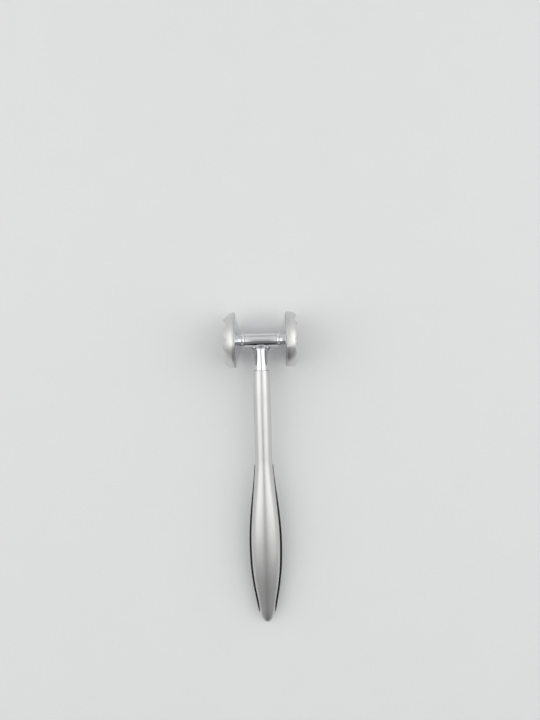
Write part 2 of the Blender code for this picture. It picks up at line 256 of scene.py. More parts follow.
def lying_matrix():
    """Carries the mallet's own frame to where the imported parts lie, by the places of the rod and the pin."""
    rod_low, rod_high = (Vector(corner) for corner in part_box("tie_rod"))
    pin_low, pin_high = (Vector(corner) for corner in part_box("neck_cross_pin"))
    hub = (rod_low + rod_high) / 2
    pin = (pin_low + pin_high) / 2
    hub.x = pin.x
    tilt = math.atan2(hub.z - pin.z, hub.y - pin.y)
    return Matrix.Translation(hub) @ Matrix.Rotation(tilt, 4, "X")


LYING = lying_matrix()


# Outlines

def spline(before, start, end, after, share):
    """One coordinate of a Catmull-Rom curve between start and end."""
    pull = 2 * before - 5 * start + 4 * end - after
    twist = 3 * (start - end) + after - before
    return start + share * ((end - before) + share * (pull + share * twist)) / 2


def smooth_curve(points, steps):
    """Points of a curve that passes through those given, with a level start and an upright end."""
    first = (-points[1][0], points[1][1])
    last = (points[-2][0], -points[-2][1])
    knots = [first, *points, last]
    curve = []
    for at in range(1, len(knots) - 2):
        before, start, end, after = knots[at - 1 : at + 3]
        for step in range(steps):
            curve.append(tuple(spline(before[k], start[k], end[k], after[k], step / steps) for k in (0, 1)))
    curve.append(points[-1])
    return curve


def finer(table, steps):
    """A table's rows with smoothly curved rows between them."""
    rows = [table[0], *table, table[-1]]
    result = []
    for at in range(1, len(rows) - 2):
        before, start, end, after = rows[at - 1 : at + 3]
        for step in range(steps):
            share = step / steps
            result.append(tuple(spline(*values, share) for values in zip(before, start, end, after)))
    result.append(table[-1])
    return result


def read_curve(curve, place):
    """Value of a curve of (place, value) points at a place."""
    for (low, value), (high, following) in zip(curve, curve[1:]):
        if place <= high:
            return value + (following - value) * (place - low) / (high - low)
    return curve[-1][1]


TAIL_CURVE = smooth_curve(TAIL_SHARES, CURVE_STEPS)
INLAY_CURVE = smooth_curve(INLAY_SHARES, CURVE_STEPS)


def handle_size(along):
    """(half-width, half-thickness) of the handle at a distance from the head's axis."""
    if along >= BELLY_PLACE:
        size = read_curve(TAIL_CURVE, (along - BELLY_PLACE) / (TAIL_PLACE - BELLY_PLACE))
        return BELLY_HALF_WIDTH * size, BELLY_HALF_THICKNESS * size
    if along <= SWELL_START:
        share = min(1, (along - NECK_END) / STEM_TAPER_LENGTH)
        radius = STEM_TOP_RADIUS + (STEM_RADIUS - STEM_TOP_RADIUS) * share * (2 - share)
        return radius, radius
    lean = ((along - SWELL_START) / (BELLY_PLACE - SWELL_START)) ** SWELL_LEAN_SHARE
    rise = lean * lean * (3 - 2 * lean)
    return (
        STEM_RADIUS + (BELLY_HALF_WIDTH - STEM_RADIUS) * rise,
        STEM_RADIUS + (BELLY_HALF_THICKNESS - STEM_RADIUS) * rise,
    )


def inlay_half_height(along):
    """Half-height of the inlay at a distance from the head's axis, or nothing beyond its ends."""
    place = (along - INLAY_START) / (INLAY_END - INLAY_START)
    if not 0 <= place <= 1:
        return 0
    full = read_curve(INLAY_CURVE, place)
    return INLAY_POINT_HALF_HEIGHT + (INLAY_HALF_HEIGHT - INLAY_POINT_HALF_HEIGHT) * full


def spread(start, end, count):
    """Evenly spaced values from start up to, but not at, end."""
    return [start + (end - start) * at / count for at in range(count)]


def quarter_round(start, corner, end, steps):
    """Points that round a corner between two points, both included."""
    points = []
    for step in range(steps + 1):
        share = step / steps
        points.append(tuple(
            (1 - share) ** 2 * a + 2 * share * (1 - share) * b + share**2 * c
            for a, b, c in zip(start, corner, end)
        ))
    return points


# Mesh making

def lay_down(bm, name):
    """Finishes a closed mesh drawn in the mallet's frame: faces outward, smooth, and laid where it lies."""
    bmesh.ops.remove_doubles(bm, verts=bm.verts[:], dist=MERGE_DISTANCE)
    bmesh.ops.dissolve_degenerate(bm, edges=bm.edges[:], dist=MERGE_DISTANCE)
    bmesh.ops.recalc_face_normals(bm, faces=bm.faces[:])
    bm.transform(LYING)
    mesh = bpy.data.meshes.new(name)
    bm.to_mesh(mesh)
    bm.free()
    mesh.shade_smooth()
    mesh.set_sharp_from_angle(angle=SMOOTH_ANGLE)
    obj = bpy.data.objects.new(name, mesh)
    bpy.context.scene.collection.objects.link(obj)
    return obj


def skin(rings):
    """Closed skin through rings of equally many points, its ends capped."""
    bm = bmesh.new()
    loops = [[bm.verts.new(point) for point in ring] for ring in rings]
    for ring, following in zip(loops, loops[1:]):
        for side in range(len(ring)):
            after = (side + 1) % len(ring)
            bm.faces.new((ring[side], ring[after], following[after], following[side]))
    for end in (loops[0], loops[-1]):
        if (end[0].co - end[len(end) // 2].co).length > MERGE_DISTANCE:
            bm.faces.new(end)
    return bm


def lathe(outline, sides, facing=1):
    """Solid turned round X. Its (place, radius) outline starts and ends on the axis, or is a closed ring."""
    rings = []
    closed = outline[0][1] > 0
    turns = [2 * math.pi * side / sides for side in range(sides)]
    for place, radius in outline + outline[:1] * closed:
        rings.append([(facing * place, radius * math.cos(turn), radius * math.sin(turn)) for turn in turns])
    bm = bmesh.new()
    loops = [[bm.verts.new(point) for point in ring] for ring in rings]
    for ring, following in zip(loops, loops[1:]):
        for side in range(sides):
            after = (side + 1) % sides
            bm.faces.new((ring[side], ring[after], following[after], following[side]))
    bmesh.ops.remove_doubles(bm, verts=bm.verts[:], dist=MERGE_DISTANCE)
    return bm


def mesh_object(name, bm):
    bmesh.ops.remove_doubles(bm, verts=bm.verts[:], dist=MERGE_DISTANCE)
    bmesh.ops.recalc_face_normals(bm, faces=bm.faces[:])
    mesh = bpy.data.meshes.new(name)
    bm.to_mesh(mesh)
    bm.free()
    obj = bpy.data.objects.new(name, mesh)
    bpy.context.scene.collection.objects.link(obj)
    return obj


def dress(obj, material, slot, *nodes):
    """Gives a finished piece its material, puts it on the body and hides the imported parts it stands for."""
    obj.data.materials.clear()
    obj.data.materials.append(material)
    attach(obj, BODY)
    if nodes:
        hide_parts(*nodes)
    return obj


def evaluated_copy(obj, name):
    """Plain mesh of an object with its modifiers applied. The object it came from is removed."""
    graph = bpy.context.evaluated_depsgraph_get()
    mesh = bpy.data.meshes.new_from_object(obj.evaluated_get(graph))
    mesh.name = name
    bpy.data.objects.remove(obj, do_unlink=True)
    return mesh


# Node trees

def link(tree, value, socket):
    """Joins a socket to a value: another socket, or a number or colour set in place."""
    if isinstance(value, bpy.types.NodeSocket):
        tree.links.new(value, socket)
    else:
        socket.default_value = value


def math_node(tree, operation, *values):
    node = tree.nodes.new("ShaderNodeMath")
    node.operation = operation
    for value, socket in zip(values, node.inputs):
        link(tree, value, socket)
    return node.outputs[0]


def toothed_face_tree():
    """Cuts a turned disc to a face of rounded pyramids: one tooth to each cell of a square grid."""
    tree = bpy.data.node_groups.new("toothed face", "GeometryNodeTree")
    tree.is_modifier = True
    sides = tree.interface
    sides.new_socket("Turned Disc", in_out="INPUT", socket_type="NodeSocketGeometry")
    for title, kind in (
        ("Pitch", "Float"),
        ("Cells", "Int"),
        ("Steps", "Int"),
        ("Depth", "Float"),
        ("Flat", "Float"),
        ("Softness", "Float"),
        ("Tip Height", "Float"),
        ("Bottom", "Float"),
        ("Shift", "Float"),
        ("Material", "Material"),
    ):
        sides.new_socket(title, in_out="INPUT", socket_type=f"NodeSocket{kind}")
    sides.new_socket("Toothed Disc", in_out="OUTPUT", socket_type="NodeSocketGeometry")
    given = tree.nodes.new("NodeGroupInput").outputs

    grid = tree.nodes.new("GeometryNodeMeshGrid")
    size = math_node(tree, "MULTIPLY", given["Pitch"], given["Cells"])
    count = math_node(tree, "ADD", math_node(tree, "MULTIPLY", given["Cells"], given["Steps"]), 1)
    for socket, value in (("Size X", size), ("Size Y", size), ("Vertices X", count), ("Vertices Y", count)):
        link(tree, value, grid.inputs[socket])

    place = tree.nodes.new("ShaderNodeSeparateXYZ")
    link(tree, tree.nodes.new("GeometryNodeInputPosition").outputs[0], place.inputs[0])
    half_pitch = math_node(tree, "DIVIDE", given["Pitch"], 2)
    half_size = math_node(tree, "DIVIDE", size, 2)
    across = []
    for axis in ("X", "Y"):
        from_edge = math_node(tree, "ADD", place.outputs[axis], half_size)
        in_cell = math_node(tree, "FLOORED_MODULO", from_edge, given["Pitch"])
        across.append(math_node(tree, "ABSOLUTE", math_node(tree, "SUBTRACT", in_cell, half_pitch)))
    from_middle = math_node(tree, "SMOOTH_MAX", *across, given["Softness"])
    half_flat = math_node(tree, "DIVIDE", given["Flat"], 2)
    slope = math_node(tree, "DIVIDE", given["Depth"], math_node(tree, "SUBTRACT", half_pitch, half_flat))
    flank = math_node(tree, "MULTIPLY", math_node(tree, "SUBTRACT", half_pitch, from_middle), slope)
    topped = math_node(tree, "SMOOTH_MIN", flank, given["Depth"], given["Softness"])
    valley = math_node(tree, "SMOOTH_MAX", topped, 0, given["Softness"])
    height = math_node(tree, "ADD", math_node(tree, "SUBTRACT", given["Tip Height"], given["Depth"]), valley)

    top = tree.nodes.new("GeometryNodeSetPosition")
    raised = tree.nodes.new("ShaderNodeCombineXYZ")
    link(tree, height, raised.inputs["Z"])
    link(tree, grid.outputs["Mesh"], top.inputs["Geometry"])
    link(tree, raised.outputs[0], top.inputs["Offset"])

    # The plate under the teeth: the same grid lowered and turned over, with walls between the two outlines.
    block = tree.nodes.new("GeometryNodeExtrudeMesh")
    block.mode = "FACES"
    block.inputs["Individual"].default_value = False
    drop = tree.nodes.new("ShaderNodeCombineXYZ")
    link(tree, given["Bottom"], drop.inputs["Z"])
    lowered = tree.nodes.new("GeometryNodeSetPosition")
    link(tree, grid.outputs["Mesh"], lowered.inputs["Geometry"])
    link(tree, drop.outputs[0], lowered.inputs["Offset"])
    link(tree, lowered.outputs[0], block.inputs["Mesh"])
    block.inputs["Offset Scale"].default_value = 1
    lift = tree.nodes.new("ShaderNodeCombineXYZ")
    link(tree, math_node(tree, "SUBTRACT", height, given["Bottom"]), lift.inputs["Z"])
    link(tree, lift.outputs[0], block.inputs["Offset"])
    under = tree.nodes.new("GeometryNodeFlipFaces")
    link(tree, lowered.outputs[0], under.inputs["Mesh"])
    joined = tree.nodes.new("GeometryNodeJoinGeometry")
    link(tree, block.outputs["Mesh"], joined.inputs[0])
    link(tree, under.outputs[0], joined.inputs[0])
    merged = tree.nodes.new("GeometryNodeMergeByDistance")
    link(tree, joined.outputs[0], merged.inputs["Geometry"])
    merged.inputs["Distance"].default_value = GRID_MERGE_DISTANCE

    shifted = tree.nodes.new("GeometryNodeTransform")
    offset = tree.nodes.new("ShaderNodeCombineXYZ")
    link(tree, given["Shift"], offset.inputs["Y"])
    link(tree, merged.outputs[0], shifted.inputs["Geometry"])
    link(tree, offset.outputs[0], shifted.inputs["Translation"])

    cut = tree.nodes.new("GeometryNodeMeshBoolean")
    cut.operation = "INTERSECT"
    cut.solver = "EXACT"
    link(tree, given["Turned Disc"], cut.inputs["Mesh 2"])
    link(tree, shifted.outputs[0], cut.inputs["Mesh 2"])
    whole = tree.nodes.new("GeometryNodeRealizeInstances")
    link(tree, cut.outputs["Mesh"], whole.inputs[0])
    painted = tree.nodes.new("GeometryNodeSetMaterial")
    link(tree, whole.outputs[0], painted.inputs["Geometry"])
    link(tree, given["Material"], painted.inputs["Material"])
    link(tree, painted.outputs[0], tree.nodes.new("NodeGroupOutput").inputs[0])
    return tree


def set_inputs(modifier, **values):
    """Sets a node modifier's inputs, each by its socket's identifier."""
    for item in modifier.node_group.interface.items_tree:
        if item.in_out == "INPUT" and item.name in values:
            modifier[item.identifier] = values[item.name]


# Shader groups

def shader_group(name, inputs, outputs):
    """Empty shader group with named inputs of (name, kind, value) and outputs of (name, kind)."""
    group = bpy.data.node_groups.new(name, "ShaderNodeTree")
    for title, kind, value in inputs:
        socket = group.interface.new_socket(title, in_out="INPUT", socket_type=f"NodeSocket{kind}")
        socket.default_value = value
    for title, kind in outputs:
        group.interface.new_socket(title, in_out="OUTPUT", socket_type=f"NodeSocket{kind}")
    given = group.nodes.new("NodeGroupInput").outputs
    results = group.nodes.new("NodeGroupOutput").inputs
    return group, given, results


def noise(tree, scale, detail=3, roughness=0.5, stretch=None):
    """Noise in object space, stretched where a vector is given. Returns its value socket."""
    coordinates = tree.nodes.new("ShaderNodeTexCoord").outputs["Object"]
    if stretch:
        mapping = tree.nodes.new("ShaderNodeMapping")
        mapping.inputs["Scale"].default_value = stretch
        link(tree, coordinates, mapping.inputs["Vector"])
        coordinates = mapping.outputs[0]
    node = tree.nodes.new("ShaderNodeTexNoise")
    link(tree, coordinates, node.inputs["Vector"])
    link(tree, scale, node.inputs["Scale"])
    node.inputs["Detail"].default_value = detail
    node.inputs["Roughness"].default_value = roughness
    return node.outputs["Fac"]


def ramp(tree, value, low, high, low_to=0, high_to=1):
    """Maps low..high to low_to..high_to, clamped, with a smooth step."""
    node = tree.nodes.new("ShaderNodeMapRange")
    node.interpolation_type = "SMOOTHSTEP"
    for amount, socket in zip((value, low, high, low_to, high_to), node.inputs):
        link(tree, amount, socket)
    return node.outputs[0]


def mix_colour(tree, share, first, second):
    node = tree.nodes.new("ShaderNodeMix")
    node.data_type = "RGBA"
    link(tree, share, node.inputs["Factor"])
    link(tree, first, node.inputs[6])
    link(tree, second, node.inputs[7])
    return node.outputs[2]


def edge_wear_and_shade_group():
    """Masks of rubbed outer edges, which are real wear, and of inner corners, which take painted shade, broken
    up by noise.
    """
    group, given, results = shader_group(
        "edge wear",
        [("Reach", "Float", 0.04), ("Breakup Scale", "Float", 900)],
        [("Rubbed", "Float"), ("Painted Shade", "Float")],
    )
    sharpness = group.nodes.new("ShaderNodeNewGeometry").outputs["Pointiness"]
    uneven_part = math_node(group, "SUBTRACT", noise(group, given["Breakup Scale"]), 0.5)
    breakup = math_node(group, "MULTIPLY", uneven_part, 0.05)
    uneven = math_node(group, "ADD", sharpness, breakup)
    outer = math_node(group, "ADD", given["Reach"], 0.5)
    inner = math_node(group, "SUBTRACT", 0.5, given["Reach"])
    link(group, ramp(group, uneven, 0.505, outer), results["Rubbed"])
    # The inner-corner mask is for painted shade in creases and valleys.
    link(group, ramp(group, uneven, 0.495, inner), results["Painted Shade"])
    return group


def casting_group():
    """Skin of a satin plated casting: faint ripples, a bead-blasted grain and slow shifts of shade."""
    group, given, results = shader_group(
        "satin casting skin",
        [("Ripple Scale", "Float", 260), ("Grain Scale", "Float", 5200), ("Shade Scale", "Float", 45)],
        [("Height", "Float"), ("Grain", "Float"), ("Shade", "Float")],
    )
    ripple = noise(group, given["Ripple Scale"], 2)
    grain = noise(group, given["Grain Scale"], 2, 0.7)
    shade = noise(group, given["Shade Scale"], 4)
    coarse_part = math_node(group, "MULTIPLY", ripple, 0.35)
    fine_part = math_node(group, "MULTIPLY", grain, 0.65)
    height = math_node(group, "ADD", coarse_part, fine_part)
    link(group, height, results["Height"])
    link(group, grain, results["Grain"])
    link(group, shade, results["Shade"])
    return group


def handling_group():
    """Faint marks of handling: smudges and fine scratches along the handle."""
    group, given, results = shader_group(
        "handling marks",
        [("Smudge Scale", "Float", 60), ("Scratch Scale", "Float", 500)],
        [("Smudges", "Float"), ("Scratches", "Float")],
    )
    smudges = ramp(group, noise(group, given["Smudge Scale"], 5, 0.6), 0.45, 0.75)
    lengthwise = noise(group, given["Scratch Scale"], 6, 0.75, stretch=(6, 0.25, 6))
    link(group, smudges, results["Smudges"])
    link(group, ramp(group, lengthwise, 0.62, 0.74), results["Scratches"])
    return group


def put_group(tree, group, **values):
    node = tree.nodes.new("ShaderNodeGroup")
    node.node_tree = group
    for title, value in values.items():
        link(tree, value, node.inputs[title.replace("_", " ")])
    return node.outputs


def new_material(name, metallic, specular=0.5):
    material = bpy.data.materials.new(name)
    material.use_nodes = True
    shader = material.node_tree.nodes["Principled BSDF"]
    shader.inputs["Metallic"].default_value = metallic
    shader.inputs["Specular IOR Level"].default_value = specular
    return material, material.node_tree, shader


def bump(tree, shader, height, strength, distance):
    node = tree.nodes.new("ShaderNodeBump")
    node.inputs["Strength"].default_value = strength
    node.inputs["Distance"].default_value = distance
    link(tree, height, node.inputs["Height"])
    link(tree, node.outputs[0], shader.inputs["Normal"])


def satin_material(groups):
    """Satin silver plating over a casting, rubbed bright on its teeth and edges, with painted shade darkening
    its inner corners.
    """
    material, tree, shader = new_material("satin silver casting", 1)
    skin_of = put_group(tree, groups["casting"])
    wear_and_shade = put_group(tree, groups["wear_and_shade"], Reach=0.06)
    marks = put_group(tree, groups["handling"])
    silver = mix_colour(tree, skin_of["Shade"], *SATIN_TONES)
    sparkle = mix_colour(tree, ramp(tree, skin_of["Grain"], 0.35, 0.7), silver, SATIN_SPARKLE)
    rubbed = mix_colour(tree, math_node(tree, "MULTIPLY", wear_and_shade["Rubbed"], 0.25), sparkle, SATIN_RUBBED)
    # Painted shade: inner corners and the valleys between teeth darkened.
    with_painted_shade = mix_colour(tree, math_node(tree, "MULTIPLY", wear_and_shade["Painted Shade"], 0.35), rubbed, SATIN_PAINTED_SHADE)
    link(tree, with_painted_shade, shader.inputs["Base Color"])
    rough = math_node(tree, "ADD", 0.3, math_node(tree, "MULTIPLY", skin_of["Grain"], 0.08))
    rough = math_node(tree, "ADD", rough, math_node(tree, "MULTIPLY", marks["Smudges"], 0.04))
    rough = math_node(tree, "SUBTRACT", rough, math_node(tree, "MULTIPLY", wear_and_shade["Rubbed"], 0.06))
    link(tree, rough, shader.inputs["Roughness"])
    bump(tree, shader, skin_of["Height"], 0.08, 0.0001)
    return material


def chrome_material(groups):
    """Mirror-polished plating with a breath of haze, hairline scratches and a faint cast ripple, and painted
    shade in its inner corners.
    """
    material, tree, shader = new_material("mirror polished plating", 1)
    marks = put_group(tree, groups["handling"], Smudge_Scale=110, Scratch_Scale=900)
    wear_and_shade = put_group(tree, groups["wear_and_shade"], Reach=0.08)
    ripple = noise(tree, 320, 1)
    clean = mix_colour(tree, ripple, *CHROME_TONES)
    # Painted shade: inner corners darkened.
    with_painted_shade = mix_colour(tree, math_node(tree, "MULTIPLY", wear_and_shade["Painted Shade"], 0.4), clean, CHROME_PAINTED_SHADE)
    link(tree, with_painted_shade, shader.inputs["Base Color"])
    rough = math_node(tree, "ADD", 0.045, math_node(tree, "MULTIPLY", marks["Smudges"], 0.05))
    rough = math_node(tree, "ADD", rough, math_node(tree, "MULTIPLY", marks["Scratches"], 0.06))
    link(tree, rough, shader.inputs["Roughness"])
    bump(tree, shader, ripple, 0.05, 0.00015)
    return material


def steel_material(groups):
    """Plain turned steel of the hidden rod, washers and pin."""
    material, tree, shader = new_material("plain machined steel", 1)
    wear_and_shade = put_group(tree, groups["wear_and_shade"])
    rings = noise(tree, 900, 3, 0.6, stretch=(8, 0.4, 0.4))
    grey = mix_colour(tree, rings, *STEEL_TONES)
    bright = mix_colour(tree, wear_and_shade["Rubbed"], grey, STEEL_RUBBED)
    link(tree, bright, shader.inputs["Base Color"])
    link(tree, ramp(tree, rings, 0.2, 0.8, 0.26, 0.42), shader.inputs["Roughness"])
    bump(tree, shader, rings, 0.15, 0.00005)
    return material


def rubber_material(groups):
    """Soft black elastomer with a fine moulded grain and a trace of dust."""
    material, tree, shader = new_material("soft black elastomer", 0, 0.12)
    pores = tree.nodes.new("ShaderNodeTexVoronoi")
    pores.inputs["Scale"].default_value = 3200
    link(tree, tree.nodes.new("ShaderNodeTexCoord").outputs["Object"], pores.inputs["Vector"])
    marks = put_group(tree, groups["handling"], Smudge_Scale=90, Scratch_Scale=700)
    black = mix_colour(tree, pores.outputs["Distance"], *RUBBER_TONES)
    dusty = mix_colour(tree, math_node(tree, "MULTIPLY", marks["Smudges"], 0.25), black, RUBBER_DUST)
    link(tree, dusty, shader.inputs["Base Color"])
    rough = math_node(tree, "ADD", 0.75, math_node(tree, "MULTIPLY", pores.outputs["Distance"], 0.15))
    link(tree, rough, shader.inputs["Roughness"])
    bump(tree, shader, pores.outputs["Distance"], 0.35, 0.00006)
    return material


# Pieces

def disc_back():
    return BARREL_LENGTH / 2 + JOINT_GAP + FLARE_LENGTH + JOINT_GAP


def disc_outline(disc):
    """Half-section of a disc: the face from its middle, the corner, the back and the rod's blind hole."""
    outline = [(disc.thickness, 0)]
    for step in range(CORNER_STEPS + 1):
        turn = math.pi / 2 * (1 - step / CORNER_STEPS)
        out = math.cos(turn) ** (2 / disc.corner_share) if step else 0
        forward = math.sin(turn) ** (2 / disc.corner_share) if step < CORNER_STEPS else 0
        radius = disc.tip_radius + (DISC_RADIUS - disc.tip_radius) * out
        outline.append((disc.band + (disc.thickness - disc.band) * forward, radius))
    edge = DISC_EDGE_ROUND
    outline += quarter_round((edge, DISC_RADIUS), (0, DISC_RADIUS), (0, DISC_RADIUS - edge), RIM_STEPS)
    bore = ROD_RADIUS + BORE_GAP
    hole = disc.thickness - disc.depth - ROD_END_WALL
    outline += [(0, bore), (hole, bore), (hole, 0)]
    return outline


def make_disc(name, facing, disc, tree, material):
    """Toothed disc: a turned blank, cut face up by the node tree and then stood on its side of the head."""
    bm = lathe(disc_outline(disc), DISC_SIDES)
    bm.transform(Matrix.Rotation(-math.pi / 2, 4, "Y"))
    bmesh.ops.recalc_face_normals(bm, faces=bm.faces[:])
    blank = bpy.data.meshes.new(f"{name}_blank")
    bm.to_mesh(blank)
    bm.free()
    obj = bpy.data.objects.new(name, blank)
    bpy.context.scene.collection.objects.link(obj)
    modifier = obj.modifiers.new("teeth", "NODES")
    modifier.node_group = tree
    set_inputs(
        modifier,
        **{
            "Pitch": disc.pitch,
            "Cells": disc.cells,
            "Steps": disc.steps,
            "Depth": disc.depth,
            "Flat": disc.flat,
            "Softness": disc.softness,
            "Tip Height": disc.thickness,
            "Bottom": -disc.thickness / 2,
            "Shift": TEETH_SHIFT,
            "Material": material,
        },
    )
    mesh = evaluated_copy(obj, name)
    bm = bmesh.new()
    bm.from_mesh(mesh)
    stood = Matrix.Rotation(facing * math.pi / 2, 4, "Y")
    bm.transform(Matrix.Translation((facing * disc_back(), 0, 0)) @ stood)
    bpy.data.meshes.remove(mesh)
    return dress(lay_down(bm, name), material, "satin_casting", name.replace("_piece", ""))


def make_flare(name, facing, material):
    """Trumpet from the barrel to just inside the disc's rim, thin at its lip, with the washer's recess."""
    start = BARREL_LENGTH / 2 + FLARE_SEAM
    end = disc_back() - FLARE_SEAM
    length = end - start
    outline = []
    for step in range(FLARE_STEPS + 1):
        share = step / FLARE_STEPS
        radius = BARREL_RADIUS + (FLARE_RADIUS - BARREL_RADIUS) * share**FLARE_SWEEP_SHARE
        outline.append((start + (length - FLARE_LIP) * share, radius))
    lip = (end - FLARE_LIP, FLARE_RADIUS)
    crown = (end, FLARE_RADIUS + FLARE_LIP / 3)
    outline[-1:] = quarter_round(lip, crown, (end, FLARE_RADIUS - FLARE_LIP), RIM_STEPS)
    bore = ROD_RADIUS + BORE_GAP
    recess = disc_back() - JOINT_GAP - WASHER_THICKNESS - BORE_GAP
    outline += [
        (end, WASHER_RADIUS + BORE_GAP),
        (recess, WASHER_RADIUS + BORE_GAP),
        (recess, bore),
        (start, bore),
    ]
    flare = lay_down(lathe(outline, FLARE_SIDES, facing), name)
    return dress(flare, material, "polished_chrome", name.replace("_piece", ""))


def oval(along, half_width, half_thickness, sides):
    turns = [2 * math.pi * side / sides for side in range(sides)]
    return [(half_width * math.cos(turn), -along, half_thickness * math.sin(turn)) for turn in turns]


def section_reach(turn, half_width, half_thickness):
    """Distance from the middle of an oval to its edge in a direction."""
    return 1 / math.hypot(math.cos(turn) / half_width, math.sin(turn) / half_thickness)


def soft_larger(first, second, blend):
    """The larger of two values, rounded over where they are nearly the same."""
    near = max(blend - abs(first - second), 0) / blend
    return max(first, second) + near * near * blend / 4


def neck_ring(along):
    """Section of the neck: round below its shoulder, and joined to the thin webs on both sides."""
    rise = max(min((along - SHOULDER_START) / (SHOULDER_END - SHOULDER_START), 1), 0)
    top = SHOULDER_HALF_THICKNESS + (NECK_RADIUS - SHOULDER_HALF_THICKNESS) * math.sqrt(rise * (2 - rise))
    web = read_curve(finer(WEB_SPREAD, WEB_STEPS), along)
    ring = []
    for turn in spread(0, 2 * math.pi, NECK_SIDES):
        round_part = section_reach(turn, NECK_RADIUS, top)
        web_part = section_reach(turn, web, WEB_HALF_THICKNESS)
        reach = soft_larger(round_part, web_part, WEB_BLEND) if web > NECK_RADIUS - WEB_BLEND else round_part
        ring.append((reach * math.cos(turn), -along, reach * math.sin(turn)))
    return ring


def make_tee(material):
    """Barrel, webs, neck and spigot, joined and bored for the rod."""
    half = BARREL_LENGTH / 2
    edge = TEE_EDGE_ROUND
    corner = (half, BARREL_RADIUS)
    rounded = quarter_round((half - edge, BARREL_RADIUS), corner, (half, BARREL_RADIUS - edge), EDGE_STEPS)
    outline = [(-half, 0), *[(-place, radius) for place, radius in reversed(rounded)], *rounded, (half, 0)]
    barrel = mesh_object("barrel", lathe(outline, BARREL_SIDES))
    rings = [neck_ring(along) for along in spread(WEB_START, WEB_SPREAD[-1][0], NECK_STEPS)]
    rings += [oval(WEB_SPREAD[-1][0], NECK_RADIUS, NECK_RADIUS, NECK_SIDES)]
    rings += [oval(NECK_END, NECK_RADIUS, NECK_RADIUS, NECK_SIDES)]
    rings += [oval(NECK_END, SPIGOT_RADIUS, SPIGOT_RADIUS, NECK_SIDES)]
    rings += [oval(NECK_END + SPIGOT_LENGTH, SPIGOT_RADIUS, SPIGOT_RADIUS, NECK_SIDES)]
    neck = mesh_object("neck", skin(rings))
    bore_radius = ROD_RADIUS + BORE_GAP
    reach = FLARE_RADIUS
    bore_outline = [(-reach, 0), (-reach, bore_radius), (reach, bore_radius), (reach, 0)]
    bore = mesh_object("bore", lathe(bore_outline, BORE_SIDES))
    for operation, other in (("UNION", neck), ("DIFFERENCE", bore)):
        modifier = barrel.modifiers.new(operation.lower(), "BOOLEAN")
        modifier.operation = operation
        modifier.solver = "EXACT"
        modifier.object = other
    mesh = evaluated_copy(barrel, "head_tee_piece")
    for helper in (neck, bore):
        bpy.data.objects.remove(helper, do_unlink=True)
    bm = bmesh.new()
    bm.from_mesh(mesh)
    bpy.data.meshes.remove(mesh)
    return dress(lay_down(bm, "head_tee_piece"), material, "polished_chrome", "head_tee")


def groove_profile(half_width, half_thickness, half_height):
    """Right side of a handle section, front to back: down one wall of the inlay's groove, up the other."""
    if half_height == 0:
        count = 2 * (ROUND_POINTS + 1) + FLOOR_POINTS
        turns = [SIDE_SLIVER * (1 - 2 * at / (count - 1)) for at in range(count)]
        return [(half_width * math.cos(turn), half_thickness * math.sin(turn)) for turn in turns]
    turn = math.asin(half_height / half_thickness)
    rim = half_width * math.cos(turn)
    outside = turn + GROOVE_EDGE_ROUND / half_width
    start = (half_width * math.cos(outside), half_thickness * math.sin(outside))
    wall = quarter_round(start, (rim, half_height), (rim - GROOVE_EDGE_ROUND, half_height), ROUND_POINTS)
    floor = half_width - GROOVE_DEPTH
    bottom = [(floor, half_height * (1 - 2 * at / (FLOOR_POINTS - 1))) for at in range(FLOOR_POINTS)]
    back = [(x, -z) for x, z in reversed(wall)]
    return wall + bottom + back


def handle_ring(along, half_width, half_thickness, half_height):
    """Closed section of the handle with a groove on each side."""
    if half_width < TAIL_TIP:
        return [(0, -along, 0)] * RING_POINTS
    right = groove_profile(half_width, half_thickness, half_height)
    left = [(-x, z) for x, z in reversed(right)]
    start = math.atan2(right[-1][1] / half_thickness, right[-1][0] / half_width)
    ring = []
    ring += [(x, -along, z) for x, z in right]
    for turn in spread(start, -math.pi - start, ARC_POINTS)[1:]:
        ring.append((half_width * math.cos(turn), -along, half_thickness * math.sin(turn)))
    ring += [(x, -along, z) for x, z in left]
    for turn in spread(math.pi + start, -start, ARC_POINTS)[1:]:
        ring.append((half_width * math.cos(turn), -along, half_thickness * math.sin(turn)))
    return ring


def make_handle(material):
    """Satin handle: rounded top edge, stem, swell, belly and tail, with a groove let in for each inlay."""
    top = NECK_END + NECK_SEAM
    rings = []
    inner = SPIGOT_RADIUS + BORE_GAP
    radius = STEM_TOP_RADIUS
    inside = radius - STEM_EDGE_ROUND
    edge = quarter_round((top, inside), (top, radius), (top + STEM_EDGE_ROUND, radius), EDGE_STEPS)
    for along, size in (
        (top + SPIGOT_LENGTH, inner),
        (top, inner),
        (top, inside),
        *edge[1:],
    ):
        rings.append(handle_ring(along, size, size, 0))
    for along in spread(top + 2 * STEM_EDGE_ROUND, INLAY_START, STEM_STEPS) + [INLAY_START]:
        rings.append(handle_ring(along, *handle_size(along), 0))
    for place, _ in INLAY_CURVE:
        along = INLAY_START + (INLAY_END - INLAY_START) * place
        rings.append(handle_ring(along, *handle_size(along), inlay_half_height(along)))
    for place, size in TAIL_CURVE:
        along = BELLY_PLACE + (TAIL_PLACE - BELLY_PLACE) * place
        if along >= INLAY_END:
            rings.append(handle_ring(along, *handle_size(along), 0))
    return dress(lay_down(skin(rings), "handle_casting_piece"), material, "satin_casting", "handle_casting")


